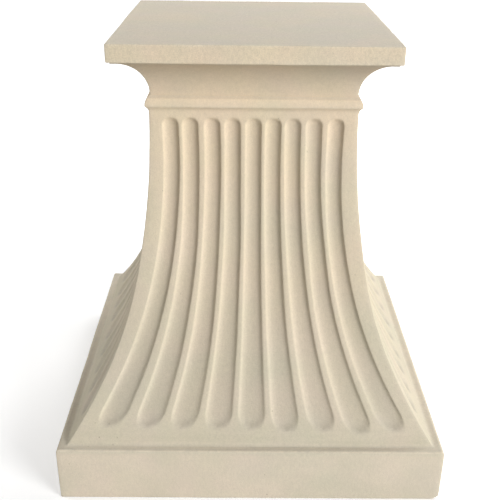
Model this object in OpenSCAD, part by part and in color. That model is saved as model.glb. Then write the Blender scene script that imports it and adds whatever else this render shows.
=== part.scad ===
/* [Overall] */
// Width of the square plinth, measured at the floor
base_w = 610; // [500:1:760]
// Height from the floor to the top of the slab
total_h = 703; // [580:1:860]

/* [Plinth] */
// Height of the plinth block
plinth_h = 94; // [70:1:125]
// Flat ledge between the plinth's side and the foot of the shaft
ledge_w = 15; // [8:1:25]
// Radius of the plinth's upper arris
plinth_arris_r = 4; // [1:0.5:6]

/* [Shaft] */
// Width of the square shaft just under the bead
shaft_w = 308; // [250:1:370]
// Distance that each side has moved out where the tighter curve of the foot begins
upper_spread = 30; // [15:1:36]
// Height of the tighter curve of the foot, above the plinth
sweep_h = 228; // [170:1:280]

/* [Flutes] */
// Number of flutes on each of the four sides
flute_count = 9; // [3:1:11]
// Greatest depth of a flute near its upper end
flute_top_depth = 5; // [3:0.5:10]
// Greatest depth of a flute near its lower end
flute_foot_depth = 4; // [3:0.5:10]
// Roundness of the hollow at the upper end: 2 is an even curve, more gives a flatter floor
flute_top_shape = 2.8; // [2:0.2:5]
// Roundness of the hollow at the lower end
flute_foot_shape = 4; // [2:0.2:5]
// Width of the plain strip between the outer flutes and the corner
corner_land = 21; // [14:0.5:30]
// How much wider that plain strip grows part way up the shaft
draw_in = 4.5; // [0:0.5:8]
// Width of the strip between two flutes at the top of the shaft
top_land = 6.5; // [4:0.5:12]
// Width of the strip between two flutes at the foot of the shaft
foot_land = 13.5; // [5:0.5:16]
// Plain height between the bead and the upper ends of the flutes
flute_top_gap = 13; // [6:0.5:30]
// Plain height between the plinth and the lower ends of the flutes
flute_foot_gap = 19; // [10:0.5:40]
// Length of a flute's lower end, against a half round one
foot_end_stretch = 1.3; // [1:0.05:1.6]

/* [Bead and cavetto] */
// Distance that the nose of the bead stands out past the shaft
bead_out = 5.5; // [4:0.5:10]
// Radius of the small cove under the bead
bead_cove_r = 2; // [1:0.5:3]
// Height from the bead's lower edge to the neck
bead_h = 20; // [16:0.5:28]
// Distance that the neck over the bead lies back from the shaft's face
neck_in = 2; // [1:0.5:4]
// Height of the cavetto
cavetto_h = 54; // [40:1:70]

/* [Slab] */
// Width of the square slab
slab_w = 409; // [395:1:480]
// Thickness of the slab
slab_t = 26; // [18:1:40]
// Distance that the slab stands out past the fillet under it
slab_overhang = 5; // [2:0.5:10]
// Height of the square fillet between the cavetto and the slab
fillet_h = 2; // [1:0.5:4]
// Radius of the slab's arrises
slab_arris_r = 1.5; // [0.5:0.5:3]

/* [Hidden] */
$fn = 180;
// Number of steps in a full turn of the large curves
large_fn = 720;

stone = [0.86, 0.81, 0.70];

// Half widths of the square sections, from the axis to a face
base_hw = base_w / 2;
foot_hw = base_hw - ledge_w;
shaft_hw = shaft_w / 2;
bead_hw = shaft_hw + bead_out;
neck_hw = shaft_hw - neck_in;
slab_hw = slab_w / 2;
fillet_hw = slab_hw - slab_overhang;

// Heights of the levels where one member gives way to the next
slab_z = total_h - slab_t;
cavetto_z = slab_z - fillet_h;
neck_z = cavetto_z - cavetto_h;
shaft_top_z = neck_z - bead_h;
sweep_z = plinth_h + sweep_h;

// Upper curve of the shaft: upright at the bead, moved out by upper_spread at sweep_z
upper_h = shaft_top_z - sweep_z;
upper_r = (upper_h * upper_h + upper_spread * upper_spread) / (2 * upper_spread);
upper_cx = shaft_hw + upper_r;

// Foot curve: carries on from the upper curve without a kink and meets the ledge at foot_hw
sweep_hw = shaft_hw + upper_spread;
sweep_turn = asin(upper_h / upper_r);
sweep_dx = foot_hw - sweep_hw;
sweep_lean = sweep_dx * cos(sweep_turn) - sweep_h * sin(sweep_turn);
sweep_r = (sweep_dx * sweep_dx + sweep_h * sweep_h) / (2 * sweep_lean);
sweep_cx = sweep_hw + sweep_r * cos(sweep_turn);
sweep_cz = sweep_z + sweep_r * sin(sweep_turn);

// Cavetto: upright at the neck, passing through the lower edge of the fillet
cavetto_dx = fillet_hw - neck_hw;
cavetto_r = (cavetto_dx * cavetto_dx + cavetto_h * cavetto_h) / (2 * cavetto_dx);

// Bead: a round nose over the small cove, and a slope from the nose back to the neck
nose_r = bead_out - bead_cove_r;
nose_x = bead_hw - nose_r;
nose_z = shaft_top_z + bead_cove_r + nose_r;
nose_to_neck = [neck_hw - nose_x, neck_z - nose_z];
slope_lean = atan2(nose_to_neck[1], nose_to_neck[0]) - acos(nose_r / norm(nose_to_neck));

// Levels of the flute ends
flute_top_z = shaft_top_z - flute_top_gap;
flute_foot_z = plinth_h + flute_foot_gap;

// Where the outer flutes draw in most: 1 is half way down their length, less is higher up
draw_bias = 0.75;
// A flute cutter reaches past the edges of its hollow by this share of its half width
cutter_lap = 1.08;
// Half width of the cutter's blunt tips, as a share of the flute's half width
tip_share = 0.14;
// Facets across a flute, and rows along its main run and along each round end
facets = 6;
run_rows = 9;
end_rows = 3;
// Draws the rows of the main run closer together towards the foot, where the side curves most
row_bunching = 1.4;

// Half width of the shaft's square section at height z
function shaft_hw_at(z) =
    z >= sweep_z
        ? upper_cx - sqrt(upper_r * upper_r - pow(shaft_top_z - z, 2))
        : sweep_cx - sqrt(sweep_r * sweep_r - pow(sweep_cz - z, 2));

// Angle between the side and the vertical at height z
function lean_at(z) =
    z >= sweep_z ? asin((shaft_top_z - z) / upper_r) : asin((sweep_cz - z) / sweep_r);

// 0 at the top of the shaft and 1 at its foot, following the spread of the sides
function spread_at(z) = (shaft_hw_at(z) - shaft_hw) / (foot_hw - shaft_hw);

function land_at(z) = top_land + (foot_land - top_land) * spread_at(z);
function depth_at(z) = flute_top_depth + (flute_foot_depth - flute_top_depth) * spread_at(z);
function shape_at(z) = flute_top_shape + (flute_foot_shape - flute_top_shape) * spread_at(z);

// Width of the plain strip at the corner: widest part way up, and corner_land at both ends
function corner_land_at(z) =
    let (down = min(max((flute_top_z - z) / (flute_top_z - flute_foot_z), 0), 1))
    corner_land + draw_in * pow(sin(180 * pow(down, draw_bias)), 2);

function flute_w_at(z) =
    (2 * shaft_hw_at(z) - 2 * corner_land_at(z) - (flute_count - 1) * land_at(z)) / flute_count;
function pitch_at(z) = flute_w_at(z) + land_at(z);

// Height taken up by the round end at each end of a flute, on the leaning side
top_end_h = flute_w_at(flute_top_z) / 2 * cos(lean_at(flute_top_z));
foot_end_h = foot_end_stretch * flute_w_at(flute_foot_z) / 2 * cos(lean_at(flute_foot_z));
run_top_z = flute_top_z - top_end_h;
run_foot_z = flute_foot_z + foot_end_h;

// Rows of a flute from foot to top, each as [height, how far into the round end from 0 to 1]
flute_rows = concat(
    [for (i = [end_rows : -1 : 1])
        let (t = cutter_lap * sin(90 * i / end_rows)) [run_foot_z - t * foot_end_h, t]],
    [for (i = [0 : run_rows])
        [run_foot_z + (run_top_z - run_foot_z) * pow(i / run_rows, row_bunching), 0]],
    [for (i = [1 : end_rows])
        let (t = cutter_lap * sin(90 * i / end_rows)) [run_top_z + t * top_end_h, t]]
);

// Right half of the section through the axis, x across and y up
module half_section() {
    plinth_section();
    shaft_section();
    bead_section();
    cavetto_section();
    slab_section();
}

module plinth_section() {
    r = plinth_arris_r;
    square([base_hw - r, plinth_h]);
    square([base_hw, plinth_h - r]);
    translate([base_hw - r, plinth_h - r]) circle(r);
}

module shaft_section() {
    difference() {
        translate([0, plinth_h]) square([foot_hw, sweep_h]);
        translate([sweep_cx, sweep_cz]) circle(sweep_r, $fn = large_fn);
    }
    difference() {
        translate([0, sweep_z]) square([sweep_hw, upper_h]);
        translate([upper_cx, shaft_top_z]) circle(upper_r, $fn = large_fn);
    }
}

// Cove, rounded nose and the slope that leads back to the neck
module bead_section() {
    difference() {
        translate([0, shaft_top_z]) square([shaft_hw + bead_cove_r, bead_cove_r]);
        translate([shaft_hw + bead_cove_r, shaft_top_z]) circle(bead_cove_r);
    }
    translate([nose_x, nose_z]) circle(nose_r);
    polygon([
        [0, nose_z - nose_r],
        [nose_x, nose_z - nose_r],
        [nose_x + nose_r * cos(slope_lean), nose_z + nose_r * sin(slope_lean)],
        [neck_hw, neck_z],
        [0, neck_z]
    ]);
}

module cavetto_section() {
    difference() {
        translate([0, neck_z]) square([fillet_hw, cavetto_h]);
        translate([neck_hw + cavetto_r, neck_z]) circle(cavetto_r, $fn = large_fn);
    }
}

module slab_section() {
    r = slab_arris_r;
    translate([0, cavetto_z]) square([fillet_hw, fillet_h + r]);
    translate([0, slab_z]) square([slab_hw - r, slab_t]);
    translate([0, slab_z + r]) square([slab_hw, slab_t - 2 * r]);
    for (z = [slab_z + r, total_h - r]) translate([slab_hw - r, z]) circle(r);
}

// The section run straight through the body in one direction
module straight_run() {
    rotate([90, 0, 0])
        linear_extrude(height = 2 * base_w, center = true) {
            half_section();
            mirror([1, 0]) half_section();
        }
}

// Two crossing runs leave a square body whose mouldings mitre at the four corners
module mitred_body() {
    intersection() {
        straight_run();
        rotate([0, 0, 90]) straight_run();
    }
}

// One row of a flute on the front face: across the hollow from left to right
function flute_row(index, z, t) =
    let (
        half_w = flute_w_at(z) / 2,
        middle = (index - (flute_count - 1) / 2) * pitch_at(z),
        reach = sqrt(max(cutter_lap * cutter_lap - t * t, tip_share * tip_share))
    )
    [for (j = [0 : facets])
        let (
            s = reach * sin(90 * (2 * j / facets - 1)),
            hollow = depth_at(z) * (1 - pow(s * s + t * t, shape_at(z) / 2))
        )
        [middle + s * half_w, hollow - shaft_hw_at(z), z]];

// A single flute as a closed solid, ready to be cut from the front face
module flute_cutter(index) {
    rows = len(flute_rows);
    columns = facets + 1;
    polyhedron(
        points = [for (row = flute_rows) each flute_row(index, row[0], row[1])],
        faces = concat(
            [for (i = [0 : rows - 2], j = [0 : facets - 1])
                let (a = i * columns + j, b = a + columns)
                each [[a, b + 1, b], [a, a + 1, b + 1]]],
            [for (i = [0 : rows - 2])
                let (a = i * columns, b = a + columns)
                each [[a, b + facets, a + facets], [a, b, b + facets]]],
            [[for (j = [facets : -1 : 0]) j]],
            [[for (j = [0 : facets]) (rows - 1) * columns + j]]
        )
    );
}

module pedestal() {
    color(stone)
        difference() {
            mitred_body();
            for (side = [0 : 3], index = [0 : flute_count - 1])
                rotate([0, 0, 90 * side]) flute_cutter(index);
        }
}

pedestal();
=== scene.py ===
import math

import bpy
import numpy as np
from bpy.props import FloatProperty, FloatVectorProperty, IntProperty, PointerProperty
from bpy.types import Operator, Panel, PropertyGroup
from mathutils import Matrix, Vector, noise


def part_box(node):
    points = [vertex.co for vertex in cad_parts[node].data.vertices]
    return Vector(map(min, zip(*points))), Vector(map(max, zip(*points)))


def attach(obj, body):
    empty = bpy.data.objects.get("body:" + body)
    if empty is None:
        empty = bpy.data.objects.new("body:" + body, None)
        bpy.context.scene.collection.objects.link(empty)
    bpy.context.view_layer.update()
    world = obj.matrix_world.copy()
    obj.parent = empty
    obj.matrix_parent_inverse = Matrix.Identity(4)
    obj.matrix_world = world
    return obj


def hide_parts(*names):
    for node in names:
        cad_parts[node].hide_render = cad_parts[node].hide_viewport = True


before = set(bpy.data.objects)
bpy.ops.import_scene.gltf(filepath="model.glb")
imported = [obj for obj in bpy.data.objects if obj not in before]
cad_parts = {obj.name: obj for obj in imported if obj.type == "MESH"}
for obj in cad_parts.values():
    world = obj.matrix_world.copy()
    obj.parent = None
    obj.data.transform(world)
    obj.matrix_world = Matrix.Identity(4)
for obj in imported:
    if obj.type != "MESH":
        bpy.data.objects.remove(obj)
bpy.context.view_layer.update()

bl_info = {
    "name": "Fluted Stone Pedestal",
    "version": (1, 0, 0),
    "blender": (4, 5, 0),
    "location": "View3D > Sidebar > Pedestal",
    "description": "A square cast-stone pedestal with a flared, fluted shaft, and a plain studio for it",
    "category": "Add Mesh",
}

NODE = "pedestal"

# The model's box as the frame gives it, in metres
LOWEST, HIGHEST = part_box(NODE)
BASE_HALF = HIGHEST[0]
TOTAL_HEIGHT = HIGHEST[2] - LOWEST[2]

SIDES = 4


def length(name, description, default):
    """A length property in metres."""
    return FloatProperty(
        name=name,
        description=description,
        default=default,
        min=0.0,
        precision=4,
        unit="LENGTH",
        subtype="DISTANCE",
    )


def lengths(name, description, default):
    """A short row of lengths in metres, one for each flute of a side."""
    return FloatVectorProperty(
        name=name,
        description=description,
        default=default,
        size=len(default),
        precision=4,
        unit="LENGTH",
    )


def factor(name, description, default, high=1.0):
    """A plain number from nothing to high."""
    return FloatProperty(name=name, description=description, default=default, min=0.0, max=high)


def colour(name, description, default):
    """A linear colour property."""
    return FloatVectorProperty(
        name=name,
        description=description,
        default=default,
        min=0.0,
        max=1.0,
        size=3,
        subtype="COLOR",
    )


def power(name, description, default):
    """A lamp's power in watts."""
    return FloatProperty(name=name, description=description, default=default, unit="POWER")


def angle(name, description, degrees):
    """An angle property, given in degrees."""
    return FloatProperty(
        name=name,
        description=description,
        default=math.radians(degrees),
        subtype="ANGLE",
    )


class PedestalSizes(PropertyGroup):
    """Sizes of the cast body, in metres."""

    plinth_height: length("Plinth height", "Height of the plinth block", 0.094)
    ledge_width: length("Ledge", "Flat ledge round the foot of the shaft", 0.015)
    plinth_arris: length("Plinth arris", "Radius of the plinth's upper arris", 0.004)
    shaft_width: length("Shaft width", "Width of the shaft just under the bead", 0.308)
    upper_spread: length(
        "Upper spread", "How far each side has moved out where the foot curve begins", 0.030
    )
    sweep_height: length("Sweep height", "Height of the foot curve above the plinth", 0.228)
    bead_out: length("Bead", "How far the bead's nose stands out past the shaft", 0.0055)
    bead_nose: length("Bead nose", "Radius of the bead's nose", 0.004)
    bead_nose_height: length(
        "Nose height", "Height of the nose's middle over the bead's lower edge", 0.0055
    )
    bead_height: length("Bead height", "Height from the bead's lower edge to the neck", 0.020)
    neck_in: length("Neck", "How far the neck lies back from the shaft's face", 0.002)
    cavetto_height: length("Cavetto height", "Height of the hollow moulding under the slab", 0.054)
    slab_width: length("Slab width", "Width of the square slab", 0.409)
    slab_thickness: length("Slab thickness", "Thickness of the slab", 0.026)
    slab_overhang: length("Slab overhang", "How far the slab stands out past the fillet", 0.005)
    slab_arris: length("Slab arris", "Radius of the slab's arrises", 0.0015)
    fillet_height: length("Fillet height", "Height of the fillet under the slab", 0.002)
    foot_cove: length("Foot cove", "Reach of the soft cove where the shaft meets the ledge", 0.0026)
    corner_radius: length("Corner radius", "Radius of the upright corner arrises", 0.0014)
    worn_corner: length("Worn corner", "How far the plinth's worn lower corner is rubbed back", 0.0045)


class FluteSizes(PropertyGroup):
    """Sizes of the flutes, in metres."""

    count: IntProperty(name="Flutes", description="Flutes on each side", default=9, min=1, max=15)
    top_depth: length("Depth at top", "Greatest depth near the upper end", 0.0057)
    foot_depth: length("Depth at foot", "Greatest depth near the lower end", 0.0052)
    top_shape: factor("Shape at top", "2 is an even hollow, more gives a flatter floor", 3.0, 6.0)
    foot_shape: factor("Shape at foot", "2 is an even hollow, more gives a flatter floor", 5.0, 6.0)
    corner_land: length("Corner land", "Plain strip between the outer flute and the corner", 0.021)
    draw_in: length("Draw in", "How much wider that strip grows part way up the shaft", 0.0045)
    top_land: length("Land at top", "Strip between two flutes at the top", 0.0065)
    foot_land: length("Land at foot", "Strip between two flutes at the foot", 0.0135)
    top_gap: length("Gap at top", "Plain height between the bead and the flutes", 0.013)
    foot_gap: length("Gap at foot", "Plain height between the plinth and the flutes", 0.019)
    foot_end_stretch: factor(
        "Foot end", "Length of a flute's lower end, against a half round one", 1.3, 2.0
    )
    top_stray: lengths(
        "Stray at top",
        "How far each hand-run flute strays to the right at the top",
        (-0.0020, -0.0034, -0.0013, -0.0013, -0.0003, -0.0020, -0.0023, -0.0013, 0.0),
    )
    foot_stray: lengths(
        "Stray at foot",
        "How far each hand-run flute strays to the right at the foot",
        (0.0016, 0.0069, 0.0065, 0.0045, 0.0018, -0.0001, 0.0009, 0.0001, -0.0011),
    )
    foot_level: lengths(
        "Foot level",
        "How far each flute's lower end lies over the even level",
        (0.003, 0.002, 0.001, 0.001, 0.001, -0.002, -0.001, -0.004, -0.001),
    )
    wander: length("Wander", "How far a flute sways about its line", 0.0006)
    top_lip: factor("Lip at top", "How softly a flute's lips are rounded near the top", 0.10, 0.3)
    foot_lip: factor("Lip at foot", "How softly a flute's lips are rounded near the foot", 0.07, 0.3)


class StoneFinish(PropertyGroup):
    """Colours and roughness of the cast stone."""

    warm: colour("Warm", "Stone colour towards the top", (0.782, 0.650, 0.472))
    pale: colour("Pale", "Stone colour towards the foot", (0.700, 0.628, 0.490))
    rosy: colour("Rosy", "Colour of the rosy patches, strongest on the plinth", (0.790, 0.690, 0.550))
    cool: colour("Cool", "Colour of the greyer patches", (0.600, 0.570, 0.455))
    # A greyer, darker tone on upward-facing surfaces
    top_tone: colour("Dust", "Colour of the dust on level tops", (0.668, 0.610, 0.512))
    # Painted shade: darkens the flutes' floors by their depth, and the moulding under the slab
    hollow: colour("Hollow", "Tint of the flutes' sheltered floors", (0.905, 0.900, 0.908))
    # Painted shade and dirt along the walls of the flutes' lower ends
    end_shade_and_dirt: colour("Grime", "Tint of the dirt at the flutes' lower ends", (0.760, 0.745, 0.690))
    rosy_tint: colour("Rosy tint", "One end of the fine colour mottling", (1.000, 0.988, 0.996))
    green_tint: colour("Green tint", "Other end of the fine colour mottling", (0.984, 0.994, 0.975))
    green_streak: colour("Streaks", "Tint of the level streaks near the foot", (0.915, 0.930, 0.905))
    rubbed: colour("Rubbed", "Colour of the rubbed arrises", (0.800, 0.715, 0.565))
    pit: colour("Pit", "Colour inside the small air holes", (0.340, 0.285, 0.200))
    roughness: factor("Roughness", "Roughness of the cast face", 0.88)
    unevenness: length("Unevenness", "Height of the slow waves left by the mould", 0.0005)


class StageSettings(PropertyGroup):
    """Camera and lamps."""

    camera_across: FloatProperty(
        name="Camera across", description="Camera's place along X", default=-0.0148, unit="LENGTH"
    )
    camera_back: length("Camera back", "Distance of the camera in front of the axis", 1.2771)
    camera_height: length("Camera height", "Height of the camera over the floor", 0.9106)
    tilt: angle("Tilt", "Angle below level", 25.568)
    turn: angle("Turn", "Turn about the vertical", -0.582)
    roll: angle("Roll", "Turn about the line of sight", 0.737)
    lens: FloatProperty(name="Lens", description="Focal length in mm", default=56.5, min=10.0)
    key_power: power("Key lamp", "Power of the tall key lamp to the right", 1060.0)
    right_power: power("Right lamp", "Power of the lamp behind, to the right", 54.0)
    left_power: power("Left lamp", "Power of the lamp behind, to the left", 39.0)
    front_power: power("Front lamp", "Power of the faint lamp in front, to the left", 12.0)
    ambient: factor("Ambient", "Strength of the even light from all round", 0.02, 2.0)


class Outline:
    """Levels and half widths of the square section, worked out from the named sizes."""

    def __init__(self, sizes):
        self.sizes = sizes
        self.foot = BASE_HALF - sizes.ledge_width
        self.shaft = sizes.shaft_width / 2
        self.slab = sizes.slab_width / 2
        self.fillet = self.slab - sizes.slab_overhang
        self.bead = self.shaft + sizes.bead_out
        self.neck = self.shaft - sizes.neck_in
        self.slab_z = TOTAL_HEIGHT - sizes.slab_thickness
        self.cavetto_z = self.slab_z - sizes.fillet_height
        self.neck_z = self.cavetto_z - sizes.cavetto_height
        self.shaft_top_z = self.neck_z - sizes.bead_height
        self.sweep_z = sizes.plinth_height + sizes.sweep_height
        self.set_curves()

    def set_curves(self):
        """The two arcs of the shaft's side, which meet without a kink at sweep_z."""
        spread = self.sizes.upper_spread
        rise = self.shaft_top_z - self.sweep_z
        self.upper_radius = (rise * rise + spread * spread) / (2 * spread)
        turn = math.asin(rise / self.upper_radius)
        across = self.foot - self.shaft - spread
        drop = self.sizes.sweep_height
        lean = across * math.cos(turn) - drop * math.sin(turn)
        self.sweep_radius = (across * across + drop * drop) / (2 * lean)
        self.sweep_across = self.shaft + spread + self.sweep_radius * math.cos(turn)
        self.sweep_level = self.sweep_z + self.sweep_radius * math.sin(turn)

    def half_width(self, z):
        """Half width of the shaft at height z."""
        if z >= self.sweep_z:
            rise = self.shaft_top_z - z
            return self.shaft + self.upper_radius - math.sqrt(self.upper_radius**2 - rise * rise)
        rise = self.sweep_level - z
        return self.sweep_across - math.sqrt(self.sweep_radius**2 - rise * rise)

    def lean(self, z):
        """Angle between the shaft's side and the vertical at height z."""
        if z >= self.sweep_z:
            return math.asin((self.shaft_top_z - z) / self.upper_radius)
        return math.asin((self.sweep_level - z) / self.sweep_radius)

    def spread(self, z):
        """0 at the top of the shaft and 1 at its foot."""
        return (self.half_width(z) - self.shaft) / (self.foot - self.shaft)


# Where the outer flutes draw in most: 1 is half way down their length, less is higher up
DRAW_BIAS = 0.75
# Sways of a flute in a metre of height, and what keeps one flute's sway apart from the next
SWAY_RATE = 9.0
SWAY_APART = 7.3
SWAY_START = 2.1
# How far up from the start of a flute's round lower end the painted shade and dirt reach
END_SHADE_AND_DIRT_REACH = 0.01


class Flutes:
    """Where the flutes run, and how deep they are."""

    def __init__(self, sizes, outline):
        self.sizes = sizes
        self.outline = outline
        self.top_z = outline.shaft_top_z - sizes.top_gap
        self.foot_z = outline.sizes.plinth_height + sizes.foot_gap
        self.top_end = self.width(self.top_z) / 2 * math.cos(outline.lean(self.top_z))
        self.foot_end = self.width(self.foot_z) / 2 * math.cos(outline.lean(self.foot_z))
        self.foot_end *= sizes.foot_end_stretch
        self.run_top_z = self.top_z - self.top_end
        self.run_foot_z = self.foot_z + self.foot_end

    def between(self, top, foot, z):
        """A value that goes from top to foot as the sides spread."""
        return top + (foot - top) * self.outline.spread(z)

    def down(self, z):
        """0 at the flutes' upper ends and 1 at their lower ends."""
        return min(max((self.top_z - z) / (self.top_z - self.foot_z), 0.0), 1.0)

    def land(self, z):
        """Width of the strip between two flutes."""
        return self.between(self.sizes.top_land, self.sizes.foot_land, z)

    def corner_land(self, z):
        """Width of the plain strip at the corner, widest part way up."""
        swell = math.sin(math.pi * self.down(z) ** DRAW_BIAS) ** 2
        return self.sizes.corner_land + self.sizes.draw_in * swell

    def width(self, z):
        """Width of one flute."""
        lands = 2 * self.corner_land(z) + (self.sizes.count - 1) * self.land(z)
        return (2 * self.outline.half_width(z) - lands) / self.sizes.count

    def stray(self, index, z):
        """How far a hand-run flute lies from its even place at height z."""
        along = self.down(z)
        pick = index % len(self.sizes.top_stray)
        stray = self.sizes.top_stray[pick] * (1 - along) + self.sizes.foot_stray[pick] * along
        sway = noise.noise(Vector((index * SWAY_APART, SWAY_START, z * SWAY_RATE)))
        return stray + self.sizes.wander * 2.0 * sway

    def middle(self, index, z):
        """Even place of a flute's middle across the side."""
        return (index - (self.sizes.count - 1) / 2) * (self.width(z) + self.land(z))

    def past_end(self, index, z):
        """0 along the main run, and 1 where a round end closes."""
        level = self.sizes.foot_level[index % len(self.sizes.foot_level)]
        foot = (self.run_foot_z + level - z) / self.foot_end
        return max(0.0, (z - self.run_top_z) / self.top_end, foot)

    def end_shade_and_dirt(self, across, past, z):
        """How much painted shade and dirt lie against the wall of a flute's lower end, 1 at most."""
        if z >= self.run_foot_z + END_SHADE_AND_DIRT_REACH:
            return 0.0
        level = max(0.0, 1.0 - (across * across + past * past) ** (self.sizes.foot_shape / 2))
        return 4.0 * level * (1.0 - level) * past * past

    def hollow(self, across, past, z):
        """Depth at a place across a flute (1 at its edges), with softly rounded lips."""
        shape = self.between(self.sizes.top_shape, self.sizes.foot_shape, z)
        depth = self.between(self.sizes.top_depth, self.sizes.foot_depth, z)
        level = 1.0 - (across * across + past * past) ** (shape / 2)
        lip = self.between(self.sizes.top_lip, self.sizes.foot_lip, z)
        return depth * 0.5 * (level + math.sqrt(level * level + 4 * lip * lip))


def arc(across, up, radius, start, end, steps):
    """Points (half width, height) along an arc, angles in degrees, both ends included."""
    points = []
    for step in range(steps + 1):
        angle = math.radians(start + (end - start) * step / steps)
        points.append((across + radius * math.cos(angle), up + radius * math.sin(angle)))
    return points


def straight(start, end, steps):
    """Points along a straight line, without its first point."""
    line = []
    for step in range(1, steps + 1):
        share = step / steps
        line.append(tuple(a + (b - a) * share for a, b in zip(start, end)))
    return line


def worn(rows, amount, corner=0.3):
    """Adds to each (half width, height) how pale it is rubbed, all along and at its corners."""
    return [(across, up, amount, corner) for across, up in rows]


def flat(rows):
    """Rows of a level face, where neither the edge nor the corners are rubbed."""
    return worn(rows, 0.0, 0.0)


# Radius of the plinth's lower arris
LOW_ARRIS = 0.002
# Rings of the underside and of the slab's top, as shares of the half width
UNDERSIDE_RINGS = (0.25, 0.6, 0.9)
TOP_RINGS = (0.94, 0.8, 0.6, 0.4, 0.2)
# Rows along a flute's lower end, its main run and its upper end
FOOT_END_ROWS = 18
RUN_ROWS = 45
TOP_END_ROWS = 11
# Angle in degrees, below level, where the bead's nose turns into the hollow under it
BEAD_UNDER = 50


def plinth_rows(outline):
    """From the underside's middle, up the plinth's side and in along the ledge."""
    sizes = outline.sizes
    low = LOW_ARRIS
    top = sizes.plinth_height
    arris = sizes.plinth_arris
    rows = flat([(share * BASE_HALF, 0.0) for share in UNDERSIDE_RINGS])
    rows += flat([(BASE_HALF - 3 * low, 0.0)])
    rows += worn(arc(BASE_HALF - low, low, low, -90, 0, 3), 0.2, 0.3)
    rows += worn(straight((BASE_HALF, low), (BASE_HALF, 8 * low), 4), 0.0)
    rows += worn(straight((BASE_HALF, 8 * low), (BASE_HALF, top - 2 * arris), 6), 0.0)
    rounding = arc(BASE_HALF - arris, top - arris, arris, 0, 90, 6)
    rows += worn(rounding[:3], 0.15, 0.4)
    rows += worn(rounding[3:6], 1.0, 0.9)
    rows += worn(rounding[6:], 0.3, 0.4)
    ledge_start = (BASE_HALF - 1.6 * arris, top)
    ledge_end = (outline.foot + sizes.foot_cove, top)
    rows += worn([ledge_start], 0.1, 0.1)
    rows += worn(straight(ledge_start, ledge_end, 3), 0.35, 0.1)
    return rows


def shaft_rows(outline, flutes):
    """The soft cove at the foot, then up the shaft, closer together at the flutes' round ends."""
    foot = outline.sizes.plinth_height
    cove = outline.sizes.foot_cove
    low_end = flutes.foot_z + min(flutes.sizes.foot_level)
    rows = worn([(outline.foot + 0.45 * cove, foot + 0.12 * cove)], 0.2, 0.1)
    rows += worn([(outline.foot, foot + 0.42 * cove)], 0.35)
    rows += worn([(outline.half_width(foot + cove), foot + cove)], 0.35)
    levels = [foot + 1.6 * cove]
    levels += list(np.linspace(foot + 0.007, low_end - 0.002, 3))
    run_start = flutes.run_foot_z + 0.004
    levels += list(np.linspace(low_end, run_start, FOOT_END_ROWS))
    levels += list(np.linspace(run_start, flutes.run_top_z, RUN_ROWS)[1:])
    levels += list(np.linspace(flutes.run_top_z, flutes.top_z + 0.0015, TOP_END_ROWS)[1:])
    return rows + worn([(outline.half_width(z), z) for z in levels], 0.0)


def bead_rows(outline):
    """The hollow under the bead, its nose and the full curve back to the neck."""
    nose = outline.sizes.bead_nose
    nose_x = outline.bead - nose
    nose_z = outline.shaft_top_z + outline.sizes.bead_nose_height
    under = BEAD_UNDER
    low_x = nose_x + nose * math.cos(math.radians(under))
    low_z = nose_z - nose * math.sin(math.radians(under))
    hollow = (low_x - outline.shaft) / (1 - math.cos(math.radians(under)))
    start_z = low_z - hollow * math.sin(math.radians(under))
    rows = worn(arc(outline.shaft + hollow, start_z, hollow, 180, 180 - under, 6)[:-1], 0.0)
    rows += worn(arc(nose_x, nose_z, nose, -under, 0, 4), 0.3, 0.4)
    across = outline.bead - outline.neck
    rise = outline.neck_z - nose_z
    crown = (across * across + rise * rise) / (2 * across)
    end = math.degrees(math.asin(rise / crown))
    rows += worn(arc(outline.bead - crown, nose_z, crown, 0, end, 9)[1:-1], 0.1)
    return rows


def cavetto_rows(outline):
    """The hollow moulding, upright at the neck and nearly level under the fillet."""
    across = outline.fillet - outline.neck
    height = outline.sizes.cavetto_height
    radius = (across * across + height * height) / (2 * across)
    end = math.degrees(math.asin(height / radius))
    return worn(arc(outline.neck + radius, outline.neck_z, radius, 180, 180 - end, 18), 0.0)


def slab_rows(outline):
    """The fillet, the slab's underside, its edge and its top as far as the middle."""
    arris = outline.sizes.slab_arris
    slab = outline.slab
    top = TOTAL_HEIGHT
    under = outline.slab_z
    rows = worn([(outline.fillet, under - 0.0004)], 0.1, 0.1)
    rows += worn(straight((outline.fillet + 0.0006, under), (slab - 2 * arris, under), 2), 0.0)
    rows += worn(arc(slab - arris, under + arris, arris, -90, 0, 3), 0.4, 0.5)
    rows += worn(straight((slab, under + 2 * arris), (slab, top - 2 * arris), 5), 0.0)
    rows += worn(arc(slab - arris, top - arris, arris, 0, 90, 4), 0.5, 0.6)
    rows += worn([(slab - 3 * arris, top)], 0.2, 0.2)
    rows += flat([(slab * share, top) for share in TOP_RINGS])
    return rows


# Places across one flute where the mesh has a column: 0 is its middle and 1 its edge
RIGHT_COLUMNS = (0.45, 0.72, 0.84, 0.92, 0.98, 1.04, 1.12)
FLUTE_COLUMNS = (*(-place for place in reversed(RIGHT_COLUMNS)), 0.0, *RIGHT_COLUMNS)
# Columns between the outer flute and the corner, and steps round the corner's arris
CORNER_COLUMNS = 3
CORNER_STEPS = 4
# How much painted shade the moulding under the slab gets, against a flute's floor
SLAB_SHADE = 1.0
# How far below the neck that painted shade starts
SLAB_SHADE_START = 0.004
# How far the hand-run strays move along from one side to the next, so that no two sides match
STRAY_SHIFT = 2


def side_columns(flutes, z, side):
    """Across one side at height z: each column as (x, place across its flute, the flute's number)."""
    columns = []
    for index in range(flutes.sizes.count):
        number = index + STRAY_SHIFT * side
        middle = flutes.middle(index, z) + flutes.stray(number, z)
        half = flutes.width(z) / 2
        columns += [(middle + place * half, place, number) for place in FLUTE_COLUMNS]
    return columns


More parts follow.
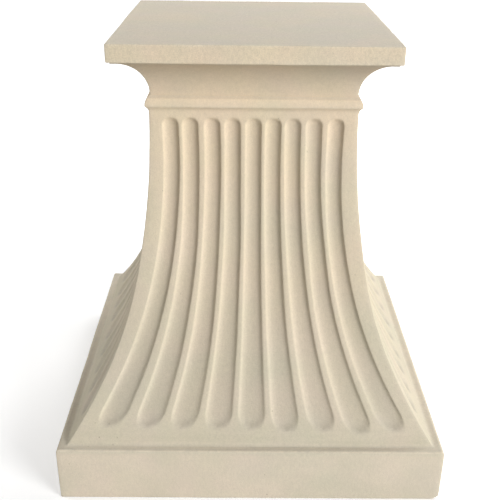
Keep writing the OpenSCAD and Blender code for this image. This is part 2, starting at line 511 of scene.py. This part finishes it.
def side_points(half_width, z, outline, flutes, corner, side):
    """Points across one level of a side, each with its share of painted shade in a flute, and of painted
    shade and dirt at a flute's lower end.
    """
    on_shaft = outline.sizes.plinth_height < z < outline.shaft_top_z
    level = min(max(z, outline.sizes.plinth_height), outline.shaft_top_z)
    scale = half_width / outline.half_width(level)
    reach = half_width - corner
    columns = side_columns(flutes, level, side)
    lead = columns[0][0] * scale
    tail = columns[-1][0] * scale
    points = []
    for step in range(CORNER_COLUMNS):
        x = -reach + (lead + reach) * step / CORNER_COLUMNS
        points.append((Vector((x, -half_width, z)), 0.0))
    for x, place, number in columns:
        past = flutes.past_end(number, z)
        depth = flutes.hollow(place, past, z) if on_shaft else 0.0
        # Painted shade, more where the flute is deeper; the lower ends add painted shade and dirt
        share = depth / flutes.sizes.top_depth
        share += flutes.end_shade_and_dirt(place, past, z) if on_shaft else 0.0
        points.append((Vector((x * scale, depth - half_width, z)), share))
    for step in range(1, CORNER_COLUMNS + 1):
        x = tail + (reach - tail) * step / CORNER_COLUMNS
        points.append((Vector((x, -half_width, z)), 0.0))
    for step in range(1, CORNER_STEPS):
        angle = math.pi / 2 * step / CORNER_STEPS
        x = reach + corner * math.sin(angle)
        y = -reach - corner * math.cos(angle)
        points.append((Vector((x, y, z)), 0.0))
    return points


def on_corner(position, around):
    """True for a point that lies on an upright corner."""
    place = position % (around // SIDES)
    return place == 0 or place > around // SIDES - CORNER_STEPS - 1


def pedestal_mesh(sizes, flute_sizes, unevenness):
    """The whole skin as one closed mesh, lofted from the underside to the top."""
    outline = Outline(sizes)
    flutes = Flutes(flute_sizes, outline)
    rows = plinth_rows(outline)
    rows += shaft_rows(outline, flutes)
    rows += bead_rows(outline)
    rows += cavetto_rows(outline)
    rows += slab_rows(outline)

    points = []
    wear = []
    shelter = []
    for half_width, z, edge, tip in rows:
        start = len(points)
        vary = 1.0 + 0.5 * noise.noise(Vector((3.0, 5.0, z * 25.0)))
        corner = min(sizes.corner_radius * vary, half_width * 0.1)
        # The moulding under the slab gets full painted shade
        under_slab = outline.neck_z - SLAB_SHADE_START < z < outline.slab_z
        least = SLAB_SHADE if under_slab else 0.0
        for side in range(SIDES):
            spin = Matrix.Rotation(side * math.tau / SIDES, 3, "Z")
            for point, share in side_points(half_width, z, outline, flutes, corner, side):
                points.append(spin @ point)
                shelter.append(max(share, least))
        around = len(points) - start
        for position in range(around):
            wear.append(max(edge, tip) if on_corner(position, around) else edge)

    faces = []
    for row in range(len(rows) - 1):
        start = row * around
        for column in range(around):
            after = (column + 1) % around
            above = start + around
            faces.append((start + column, start + after, above + after, above + column))
    underside = len(points)
    top = underside + 1
    points += [Vector((0.0, 0.0, 0.0)), Vector((0.0, 0.0, TOTAL_HEIGHT))]
    wear += [0.0, 0.0]
    shelter += [0.0, 0.0]
    last = (len(rows) - 1) * around
    for column in range(around):
        after = (column + 1) % around
        faces.append((underside, after, column))
        faces.append((top, last + column, last + after))

    mesh = bpy.data.meshes.new(NODE)
    mesh.from_pydata(points, [], faces)
    mesh.update()
    roughen(mesh, wear, unevenness)
    rub_corner(mesh, Vector((BASE_HALF, -BASE_HALF, 0.0)), sizes.worn_corner)
    mark_points(mesh, "arris", wear)
    mark_points(mesh, "shelter", shelter)
    mesh.polygons.foreach_set("use_smooth", [True] * len(mesh.polygons))
    mesh.update()
    return mesh


def mark_points(mesh, name, values):
    """Stores one number for each point, for the finish to read."""
    attribute = mesh.attributes.new(name, "FLOAT", "POINT")
    attribute.data.foreach_set("value", values)


# Waves in a metre: the mould's slow and quick ones, and the nicks and chips of worn arrises
SLOW_WAVES = 9.0
QUICK_WAVES = 31.0
NICKS = 45.0
CHIPS = 130.0
# Points nearer the floor than this aren't moved, so that the underside stays level
STILL_BELOW = 0.0005
# How many times its own amount the corner's rubbing reaches
RUB_REACH = 3.0


def roughen(mesh, wear, height):
    """Moves each point by slow waves, as an old mould leaves them, and nicks the worn arrises."""
    normals = [Vector(item.vector) for item in mesh.vertex_normals]
    for vertex, normal, amount in zip(mesh.vertices, normals, wear):
        place = vertex.co
        if place.z < STILL_BELOW:
            continue
        quick = noise.noise(place * QUICK_WAVES + Vector((4.0, 1.0, 7.0)))
        wave = noise.noise(place * SLOW_WAVES) + 0.5 * quick
        chip = max(0.0, noise.noise(place * CHIPS))
        nick = max(0.0, noise.noise(place * NICKS) - 0.1) + 0.5 * chip
        vertex.co = place + normal * height * (wave - 2.0 * amount * nick)


def rub_corner(mesh, corner, amount):
    """Rubs back the corner of the plinth, most at its tip."""
    inward = Vector((-corner.x, -corner.y, BASE_HALF)).normalized()
    for vertex in mesh.vertices:
        gap = (vertex.co - corner).length / amount
        if gap < RUB_REACH:
            vertex.co += inward * amount * math.exp(-gap * gap)


class NodeDesk:
    """Adds and links shader nodes with short calls."""

    def __init__(self, tree):
        self.tree = tree

    def add(self, kind, **settings):
        node = self.tree.nodes.new(kind)
        for key, value in settings.items():
            setattr(node, key, value)
        return node

    def link(self, source, target):
        self.tree.links.new(source, target)

    def rise(self, direction):
        """The upward part of a place or a direction."""
        node = self.add("ShaderNodeSeparateXYZ")
        self.link(direction, node.inputs[0])
        return node.outputs["Z"]

    def stretched(self, place, scale):
        """A place drawn out or closed up along the three axes."""
        node = self.add("ShaderNodeMapping")
        node.inputs["Scale"].default_value = scale
        self.link(place, node.inputs["Vector"])
        return node.outputs["Vector"]

    def noise(self, place, scale, detail, roughness):
        node = self.add("ShaderNodeTexNoise")
        node.inputs["Scale"].default_value = scale
        node.inputs["Detail"].default_value = detail
        node.inputs["Roughness"].default_value = roughness
        self.link(place, node.inputs["Vector"])
        return node.outputs["Fac"]

    def ramp(self, value, low, high, start=0.0, end=1.0):
        node = self.add("ShaderNodeMapRange", clamp=True)
        node.inputs["From Min"].default_value = low
        node.inputs["From Max"].default_value = high
        node.inputs["To Min"].default_value = start
        node.inputs["To Max"].default_value = end
        self.link(value, node.inputs["Value"])
        return node.outputs["Result"]

    def maths(self, operation, first, second):
        node = self.add("ShaderNodeMath", operation=operation)
        for socket, value in zip(node.inputs, (first, second)):
            if isinstance(value, (int, float)):
                socket.default_value = value
            else:
                self.link(value, socket)
        return node.outputs["Value"]

    def mix(self, share, first, second, blend="MIX"):
        node = self.add("ShaderNodeMix", data_type="RGBA", blend_type=blend)
        for name, value in (("Factor", share), ("A", first), ("B", second)):
            socket = [s for s in node.inputs if s.name == name and s.enabled][0]
            if isinstance(value, (int, float, tuple)):
                socket.default_value = value
            else:
                self.link(value, socket)
        return [s for s in node.outputs if s.enabled][0]


# Scale, detail and roughness of each noise in the stone
PATCHES = (5.0, 2.0, 0.5)
PLINTH_PATCHES = (11.0, 3.0, 0.6)
CLOUDS = (8.0, 2.0, 0.5)
TOP_PATCHES = (8.0, 3.0, 0.6)
STREAKS = (14.0, 3.0, 0.5)
TINTS = (17.0, 2.0, 0.5)
RUBBING = (48.0, 3.0, 0.65)
GRAIN = (620.0, 2.0, 0.7)
SAND = (230.0, 3.0, 0.6)
BLOTCHES = (75.0, 2.0, 0.5)
PITTED = (12.0, 1.0, 0.5)
# How much streaks and sand are closed up (over 1) or drawn out (under 1) along each axis
STREAK_STRETCH = (0.5, 0.5, 12.0)
SAND_STRETCH = (1.0, 1.0, 0.6)
# Heights in metres between which a colour or the grain changes
PALE_TO_WARM = (0.10, 0.62)
PLINTH_TOP = (0.086, 0.092)
STREAKS_START = (0.0942, 0.0950)
STREAKS_END = (0.096, 0.125)
SLAB_START = (0.674, 0.680)
# Air holes in a metre, and where a hole's colour starts and ends, from its middle
HOLES = 70.0
HOLE_EDGE = (0.045, 0.100)


def opaque(value):
    """A colour property as four numbers."""
    return (*value, 1.0)


def stone_tone(desk, place, finish):
    """The stone's colour: warmer towards the top, with patches, a greyer tone on upward faces, painted
    shade in the flutes and under the slab, painted shade and dirt at the flutes' lower ends, streaks and
    pale arrises.
    """
    rise = desk.rise(place)
    tone = desk.mix(desk.ramp(rise, *PALE_TO_WARM), opaque(finish.pale), opaque(finish.warm))

    patches = desk.ramp(desk.noise(place, *PATCHES), 0.40, 0.70, 0.0, 0.35)
    on_plinth = desk.ramp(rise, *PLINTH_TOP, 1.0, 0.0)
    worked = desk.ramp(desk.noise(place, *PLINTH_PATCHES), 0.38, 0.62, 0.6, 1.0)
    on_plinth = desk.maths("MULTIPLY", on_plinth, worked)
    tone = desk.mix(desk.maths("MAXIMUM", patches, on_plinth), tone, opaque(finish.rosy))
    clouds = desk.ramp(desk.noise(place, *CLOUDS), 0.45, 0.72, 0.0, 0.4)
    tone = desk.mix(clouds, tone, opaque(finish.cool))

    # Upward-facing surfaces take a greyer, darker tone in patches
    facing = desk.rise(desk.add("ShaderNodeNewGeometry").outputs["Normal"])
    top_patches = desk.ramp(desk.noise(place, *TOP_PATCHES), 0.35, 0.65, 0.65, 0.95)
    level = desk.ramp(facing, 0.55, 0.98)
    tone = desk.mix(desk.maths("MULTIPLY", level, top_patches), tone, opaque(finish.top_tone))

    # Painted shade, darker where the flutes are deeper and on the moulding under the slab
    hollow = desk.add("ShaderNodeAttribute", attribute_name="shelter").outputs["Fac"]
    tone = desk.mix(desk.ramp(hollow, 0.1, 1.0), tone, opaque(finish.hollow), "MULTIPLY")
    # Painted shade and dirt on the walls of the flutes' lower ends
    tone = desk.mix(desk.ramp(hollow, 0.9, 1.7), tone, opaque(finish.end_shade_and_dirt), "MULTIPLY")

    sweeps = desk.stretched(place, STREAK_STRETCH)
    streak = desk.ramp(desk.noise(sweeps, *STREAKS), 0.35, 0.65, 0.0, 0.9)
    near_foot = desk.ramp(rise, *STREAKS_END, 1.0, 0.0)
    near_foot = desk.maths("MULTIPLY", near_foot, desk.ramp(rise, *STREAKS_START))
    streaked = desk.maths("MULTIPLY", streak, near_foot)
    tone = desk.mix(streaked, tone, opaque(finish.green_streak), "MULTIPLY")

    tint = desk.ramp(desk.noise(place, *TINTS), 0.35, 0.65)
    tint = desk.mix(tint, opaque(finish.rosy_tint), opaque(finish.green_tint))
    tone = desk.mix(1.0, tone, tint, "MULTIPLY")

    arris = desk.add("ShaderNodeAttribute", attribute_name="arris").outputs["Fac"]
    rubbing = desk.ramp(desk.noise(place, *RUBBING), 0.35, 0.60, 0.25, 1.0)
    return desk.mix(desk.maths("MULTIPLY", arris, rubbing), tone, opaque(finish.rubbed))


def stone_material(finish):
    """Sandy cast stone: fine grain, soft patches and a few pin holes."""
    material = bpy.data.materials.new("cast_stone")
    material.use_nodes = True
    desk = NodeDesk(material.node_tree)
    shader = material.node_tree.nodes["Principled BSDF"]
    place = desk.add("ShaderNodeTexCoord").outputs["Object"]
    tone = stone_tone(desk, place, finish)

    grain = desk.noise(place, *GRAIN)
    sand = desk.noise(desk.stretched(place, SAND_STRETCH), *SAND)
    speck = desk.ramp(grain, 0.30, 0.70, 0.905, 1.095)
    mottle = desk.ramp(sand, 0.30, 0.70, 0.945, 1.055)
    blotch = desk.ramp(desk.noise(place, *BLOTCHES), 0.35, 0.65, 0.990, 1.010)
    shade = desk.maths("MULTIPLY", desk.maths("MULTIPLY", speck, mottle), blotch)
    shade_colour = desk.add("ShaderNodeCombineColor")
    for socket in shade_colour.inputs:
        desk.link(shade, socket)
    coarse = desk.ramp(desk.rise(place), *SLAB_START, 0.6, 1.0)
    tone = desk.mix(coarse, tone, shade_colour.outputs["Color"], "MULTIPLY")

    holes = desk.add("ShaderNodeTexVoronoi", feature="F1")
    holes.inputs["Scale"].default_value = HOLES
    desk.link(place, holes.inputs["Vector"])
    rare = desk.ramp(desk.noise(place, *PITTED), 0.62, 0.68)
    inside = desk.ramp(holes.outputs["Distance"], *HOLE_EDGE, 1.0, 0.0)
    inside = desk.maths("MULTIPLY", inside, rare)
    tone = desk.mix(desk.maths("MULTIPLY", inside, 0.6), tone, opaque(finish.pit))
    desk.link(tone, shader.inputs["Base Color"])

    shader.inputs["Roughness"].default_value = finish.roughness
    shader.inputs["Specular IOR Level"].default_value = 0.25

    relief = desk.maths("ADD", desk.maths("MULTIPLY", grain, 0.6), sand)
    relief = desk.maths("SUBTRACT", relief, desk.maths("MULTIPLY", inside, 2.0))
    bump = desk.add("ShaderNodeBump")
    bump.inputs["Strength"].default_value = 0.35
    bump.inputs["Distance"].default_value = 0.0008
    desk.link(relief, bump.inputs["Height"])
    desk.link(bump.outputs["Normal"], shader.inputs["Normal"])
    return material


def seen_directly(desk):
    """1 for what the camera sees, straight or through a gloss, and 0 for light on its way."""
    path = desk.add("ShaderNodeLightPath")
    straight_on = desk.maths("MAXIMUM", path.outputs["Is Camera Ray"], path.outputs["Is Glossy Ray"])
    return desk.maths("MAXIMUM", straight_on, path.outputs["Is Transmission Ray"])


def floor_material():
    """White floor that keeps the shadow near the object and stays white far off."""
    material = bpy.data.materials.new("white_floor")
    material.use_nodes = True
    nodes = material.node_tree.nodes
    nodes.clear()
    desk = NodeDesk(material.node_tree)
    paint = desk.add("ShaderNodeBsdfDiffuse")
    paint.inputs["Color"].default_value = (0.5, 0.5, 0.5, 1.0)
    bright = desk.add("ShaderNodeBsdfDiffuse")
    bright.inputs["Color"].default_value = (0.8, 0.8, 0.8, 1.0)
    glow = desk.add("ShaderNodeEmission")
    place = desk.add("ShaderNodeTexCoord").outputs["Object"]
    away = desk.add("ShaderNodeVectorMath", operation="LENGTH")
    desk.link(place, away.inputs[0])
    desk.link(desk.ramp(away.outputs["Value"], 0.5, 1.3, 0.45, 1.0), glow.inputs["Strength"])
    lift = desk.add("ShaderNodeAddShader")
    desk.link(bright.outputs[0], lift.inputs[0])
    desk.link(glow.outputs[0], lift.inputs[1])
    choose = desk.add("ShaderNodeMixShader")
    desk.link(seen_directly(desk), choose.inputs["Fac"])
    desk.link(paint.outputs[0], choose.inputs[1])
    desk.link(lift.outputs[0], choose.inputs[2])
    output = desk.add("ShaderNodeOutputMaterial")
    desk.link(choose.outputs[0], output.inputs["Surface"])
    return material


def white_world(ambient):
    """Even light from all round, seen by the camera as plain white."""
    world = bpy.data.worlds.new("studio")
    world.use_nodes = True
    desk = NodeDesk(world.node_tree)
    background = world.node_tree.nodes["Background"]
    background.inputs["Color"].default_value = (1.0, 1.0, 1.0, 1.0)
    desk.link(desk.ramp(seen_directly(desk), 0.0, 1.0, ambient, 1.0), background.inputs["Strength"])
    return world


# Each lamp: its name, angle round from the front (90 is right), angle above level,
# distance, and the width and height of its panel
LAMPS = (
    ("key", 48.0, 16.5, 10.0, (4.2, 5.4)),
    ("right", 149.0, 41.0, 3.0, (1.4, 1.8)),
    ("left", -107.0, 31.0, 3.0, (1.4, 1.8)),
    ("front", -30.0, 8.0, 4.0, (1.4, 1.0)),
)
# Half the width of the square floor
FLOOR_REACH = 12.0


def soft_lamp(name, around, above, distance, size, watts):
    """A soft lamp that points at the pedestal's middle, with its angles in degrees."""
    lamp = bpy.data.lights.new(name, "AREA")
    lamp.shape = "RECTANGLE"
    lamp.size = size[0]
    lamp.size_y = size[1]
    lamp.energy = watts
    turn = math.radians(around)
    rise = math.radians(above)
    out = math.cos(rise)
    way = Vector((out * math.sin(turn), -out * math.cos(turn), math.sin(rise)))
    holder = bpy.data.objects.new(name, lamp)
    holder.location = Vector((0.0, 0.0, TOTAL_HEIGHT / 2)) + distance * way
    holder.rotation_euler = way.to_track_quat("Z", "Y").to_euler()
    bpy.context.scene.collection.objects.link(holder)
    return holder


class PEDESTAL_OT_cast(Operator):
    """Make the pedestal's skin and its cast-stone finish"""

    bl_idname = "pedestal.cast"
    bl_label = "Cast Pedestal"

    def execute(self, context):
        scene = context.scene
        finish = scene.stone_finish
        mesh = pedestal_mesh(scene.pedestal_sizes, scene.flute_sizes, finish.unevenness)
        mesh.materials.append(stone_material(finish))
        piece = bpy.data.objects.new("stone_pedestal", mesh)
        scene.collection.objects.link(piece)
        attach(piece, "root")
        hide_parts(NODE)
        return {"FINISHED"}


class PEDESTAL_OT_stage(Operator):
    """Set up the white floor, the even light, the lamps and the camera"""

    bl_idname = "pedestal.stage"
    bl_label = "Set Stage"

    def execute(self, context):
        scene = context.scene
        settings = scene.stage_settings
        self.lay_floor(scene)
        scene.world = white_world(settings.ambient)
        for name, *placing in LAMPS:
            soft_lamp(f"{name}_lamp", *placing, getattr(settings, f"{name}_power"))
        self.place_camera(scene, settings)
        scene.view_settings.view_transform = "Standard"
        return {"FINISHED"}

    def lay_floor(self, scene):
        signs = ((-1, -1), (1, -1), (1, 1), (-1, 1))
        corners = [(x * FLOOR_REACH, y * FLOOR_REACH, 0.0) for x, y in signs]
        mesh = bpy.data.meshes.new("floor")
        mesh.from_pydata(corners, [], [(0, 1, 2, 3)])
        mesh.materials.append(floor_material())
        floor = bpy.data.objects.new("floor", mesh)
        scene.collection.objects.link(floor)

    def place_camera(self, scene, settings):
        data = bpy.data.cameras.new("camera")
        data.lens = settings.lens
        data.sensor_width = 36.0
        camera = bpy.data.objects.new("camera", data)
        scene.collection.objects.link(camera)
        turn = Matrix.Rotation(settings.turn, 4, "Z")
        tilt = Matrix.Rotation(math.pi / 2 - settings.tilt, 4, "X")
        roll = Matrix.Rotation(settings.roll, 4, "Z")
        place = Vector((settings.camera_across, -settings.camera_back, settings.camera_height))
        camera.matrix_world = Matrix.Translation(place) @ turn @ tilt @ roll
        scene.camera = camera


class PEDESTAL_PT_sidebar(Panel):
    """Lists the pedestal's sizes, finish and making steps"""

    bl_idname = "PEDESTAL_PT_sidebar"
    bl_label = "Fluted Pedestal"
    bl_space_type = "VIEW_3D"
    bl_region_type = "UI"
    bl_category = "Pedestal"

    def draw(self, context):
        layout = self.layout
        layout.operator(PEDESTAL_OT_cast.bl_idname)
        layout.operator(PEDESTAL_OT_stage.bl_idname)
        scene = context.scene
        groups = (scene.pedestal_sizes, scene.flute_sizes, scene.stone_finish, scene.stage_settings)
        for group in groups:
            box = layout.box()
            for key in group.__annotations__:
                box.prop(group, key)


CLASSES = (
    PedestalSizes,
    FluteSizes,
    StoneFinish,
    StageSettings,
    PEDESTAL_OT_cast,
    PEDESTAL_OT_stage,
    PEDESTAL_PT_sidebar,
)


def register():
    for item in CLASSES:
        bpy.utils.register_class(item)
    bpy.types.Scene.pedestal_sizes = PointerProperty(type=PedestalSizes)
    bpy.types.Scene.flute_sizes = PointerProperty(type=FluteSizes)
    bpy.types.Scene.stone_finish = PointerProperty(type=StoneFinish)
    bpy.types.Scene.stage_settings = PointerProperty(type=StageSettings)


def unregister():
    del bpy.types.Scene.stage_settings
    del bpy.types.Scene.stone_finish
    del bpy.types.Scene.flute_sizes
    del bpy.types.Scene.pedestal_sizes
    for item in reversed(CLASSES):
        bpy.utils.unregister_class(item)


def main():
    register()
    bpy.ops.pedestal.cast()
    bpy.ops.pedestal.stage()


if __name__ == "__main__":
    main()
